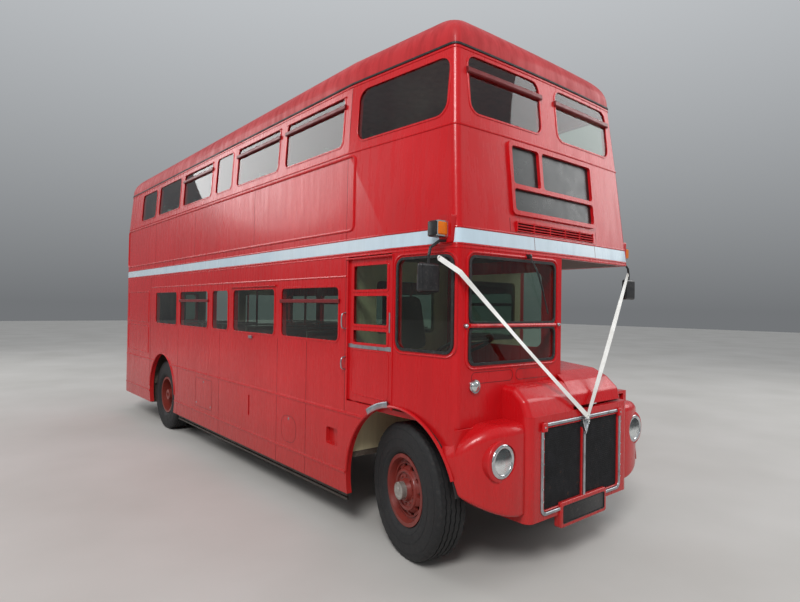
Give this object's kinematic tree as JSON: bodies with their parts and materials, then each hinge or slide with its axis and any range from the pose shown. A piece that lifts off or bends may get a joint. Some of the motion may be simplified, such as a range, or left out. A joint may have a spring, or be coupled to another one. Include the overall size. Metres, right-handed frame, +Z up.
{
  "type": "double decker bus",
  "caption": "Two-deck half-cab bus with an open rear platform, steering front wheels, twin rear wheels, sliding cab door, lifting bonnet and upper rear emergency door.",
  "frame": {"origin": "on the ground at the middle of the bounding box", "axes": "+Z up; the front faces -Y and the driver's side is -X"},
  "size_m": [2.9, 9.11, 4.38],
  "materials": {
    "red_panels": "gloss paint, weathered",
    "roof_paint": "gloss paint, chalky on top",
    "window_glass": "clear glass",
    "sign_blinds": "plain dark blind behind glass",
    "deck_floor": "ribbed boards",
    "lining_paint": "satin paint",
    "bright_aluminium": "polished",
    "radiator_mesh": "matt black mesh",
    "plate_plastic": "blank",
    "engine_iron": "oily cast iron",
    "chassis_steel": "black chassis paint",
    "forged_steel": "dark forged steel",
    "tyre_rubber": "worn rubber",
    "wheel_paint": "red oxide paint",
    "tank_paint": "black paint",
    "rail_paint": "black paint",
    "seat_moquette": "woven cloth",
    "seat_steel": "grey paint",
    "pole_covering": "smooth covering",
    "cab_seat_cloth": "woven cloth",
    "cab_trim": "dark paint",
    "wheel_rim_plastic": "smooth black",
    "mirror_bodies": "black",
    "lamp_glass": "lamp lens"
  },
  "bodies": {
    "bus_body": {"bulkheads": "lining_paint", "cab_fittings": "cab_trim", "cab_shell": "red_panels", "destination_signs": "sign_blinds", "driver_seat": "cab_seat_cloth", "engine": "engine_iron", "front_suspension": "chassis_steel", "fuel_tank": "tank_paint", "grille_frame": "bright_aluminium", "guard_rails": "rail_paint", "lamps": "lamp_glass", "lower_floor": "deck_floor", "lower_rear_panel": "red_panels", "lower_side_nearside": "red_panels", "lower_side_offside": "red_panels", "mirrors": "mirror_bodies", "passenger_seats": "seat_moquette", "plate_box": "plate_plastic", "platform": "deck_floor", "poles": "pole_covering", "radiator": "radiator_mesh", "radiator_cowl": "red_panels", "rear_axle": "chassis_steel", "roof": "roof_paint", "seat_frames": "seat_steel", "staircase": "lining_paint", "subframes": "chassis_steel", "transmission": "chassis_steel", "upper_floor": "deck_floor", "upper_front_panel": "red_panels", "upper_rear_panel": "red_panels", "upper_side_nearside": "red_panels", "upper_side_offside": "red_panels", "window_glass": "window_glass", "wing_nearside": "red_panels", "wing_offside": "red_panels"},
    "knuckle_offside": {"knuckle_offside": "forged_steel"},
    "knuckle_nearside": {"knuckle_nearside": "forged_steel"},
    "front_wheel_offside": {"front_tyre_offside": "tyre_rubber", "front_wheel_offside": "wheel_paint"},
    "front_wheel_nearside": {"front_tyre_nearside": "tyre_rubber", "front_wheel_nearside": "wheel_paint"},
    "rear_wheels_offside": {"rear_tyres_offside": "tyre_rubber", "rear_wheels_offside": "wheel_paint"},
    "rear_wheels_nearside": {"rear_tyres_nearside": "tyre_rubber", "rear_wheels_nearside": "wheel_paint"},
    "track_rod": {"track_rod": "forged_steel"},
    "steering_wheel": {"steering_wheel": "wheel_rim_plastic"},
    "cab_door": {"cab_door": "red_panels", "cab_door_glass": "window_glass"},
    "bonnet": {"bonnet": "red_panels"},
    "emergency_door": {"emergency_door": "red_panels", "emergency_glass": "window_glass"}
  },
  "joints": [
    {"name": "steer_offside", "type": "hinge", "parent": "bus_body", "child": "knuckle_offside", "pos_m": [-0.82, -3.698, 0.5275], "axis": [0, 0, 1], "range_deg": [-24, 46]},
    {"name": "steer_nearside", "type": "hinge", "parent": "bus_body", "child": "knuckle_nearside", "pos_m": [0.82, -3.698, 0.5275], "axis": [0, 0, 1], "range_deg": [-24, 46]},
    {"name": "track_rod_pivot", "type": "hinge", "parent": "knuckle_offside", "child": "track_rod", "pos_m": [-0.78184, -3.50168, 0.3955], "axis": [0, 0, 1], "range_deg": [-46, 24]},
    {"name": "steering_wheel_turn", "type": "hinge", "parent": "bus_body", "child": "steering_wheel", "pos_m": [-0.665, -3.868, 1.66], "axis": [0, 0.4226, 0.9063], "range_deg": [-432, 828]},
    {"name": "front_wheel_offside_spin", "type": "hinge", "parent": "knuckle_offside", "child": "front_wheel_offside", "pos_m": [-0.82, -3.698, 0.5275], "axis": [0.9816, -0.1908, 0], "continuous": true},
    {"name": "front_wheel_nearside_spin", "type": "hinge", "parent": "knuckle_nearside", "child": "front_wheel_nearside", "pos_m": [0.82, -3.698, 0.5275], "axis": [0.9816, -0.1908, 0], "continuous": true},
    {"name": "rear_wheels_offside_spin", "type": "hinge", "parent": "bus_body", "child": "rear_wheels_offside", "pos_m": [-0.825, 2.144, 0.5275], "axis": [1, 0, 0], "continuous": true},
    {"name": "rear_wheels_nearside_spin", "type": "hinge", "parent": "bus_body", "child": "rear_wheels_nearside", "pos_m": [0.825, 2.144, 0.5275], "axis": [1, 0, 0], "continuous": true},
    {"name": "cab_door_slide", "type": "slide", "parent": "bus_body", "child": "cab_door", "axis": [0, 1, 0], "range_m": [0, 0.55]},
    {"name": "bonnet_lift", "type": "hinge", "parent": "bus_body", "child": "bonnet", "pos_m": [0.056, -3.798, 1.50216], "axis": [0, -0.9954, -0.0956], "range_deg": [0, 60]},
    {"name": "emergency_door_drop", "type": "hinge", "parent": "bus_body", "child": "emergency_door", "pos_m": [0, 4.543, 3.327], "axis": [-1, 0, 0], "range_deg": [0, 100]}
  ],
  "couplings": [
    {"joint": "steer_nearside", "follows": "steer_offside", "ratio": 1},
    {"joint": "track_rod_pivot", "follows": "steer_offside", "ratio": -1},
    {"joint": "steering_wheel_turn", "follows": "steer_offside", "ratio": 18}
  ]
}
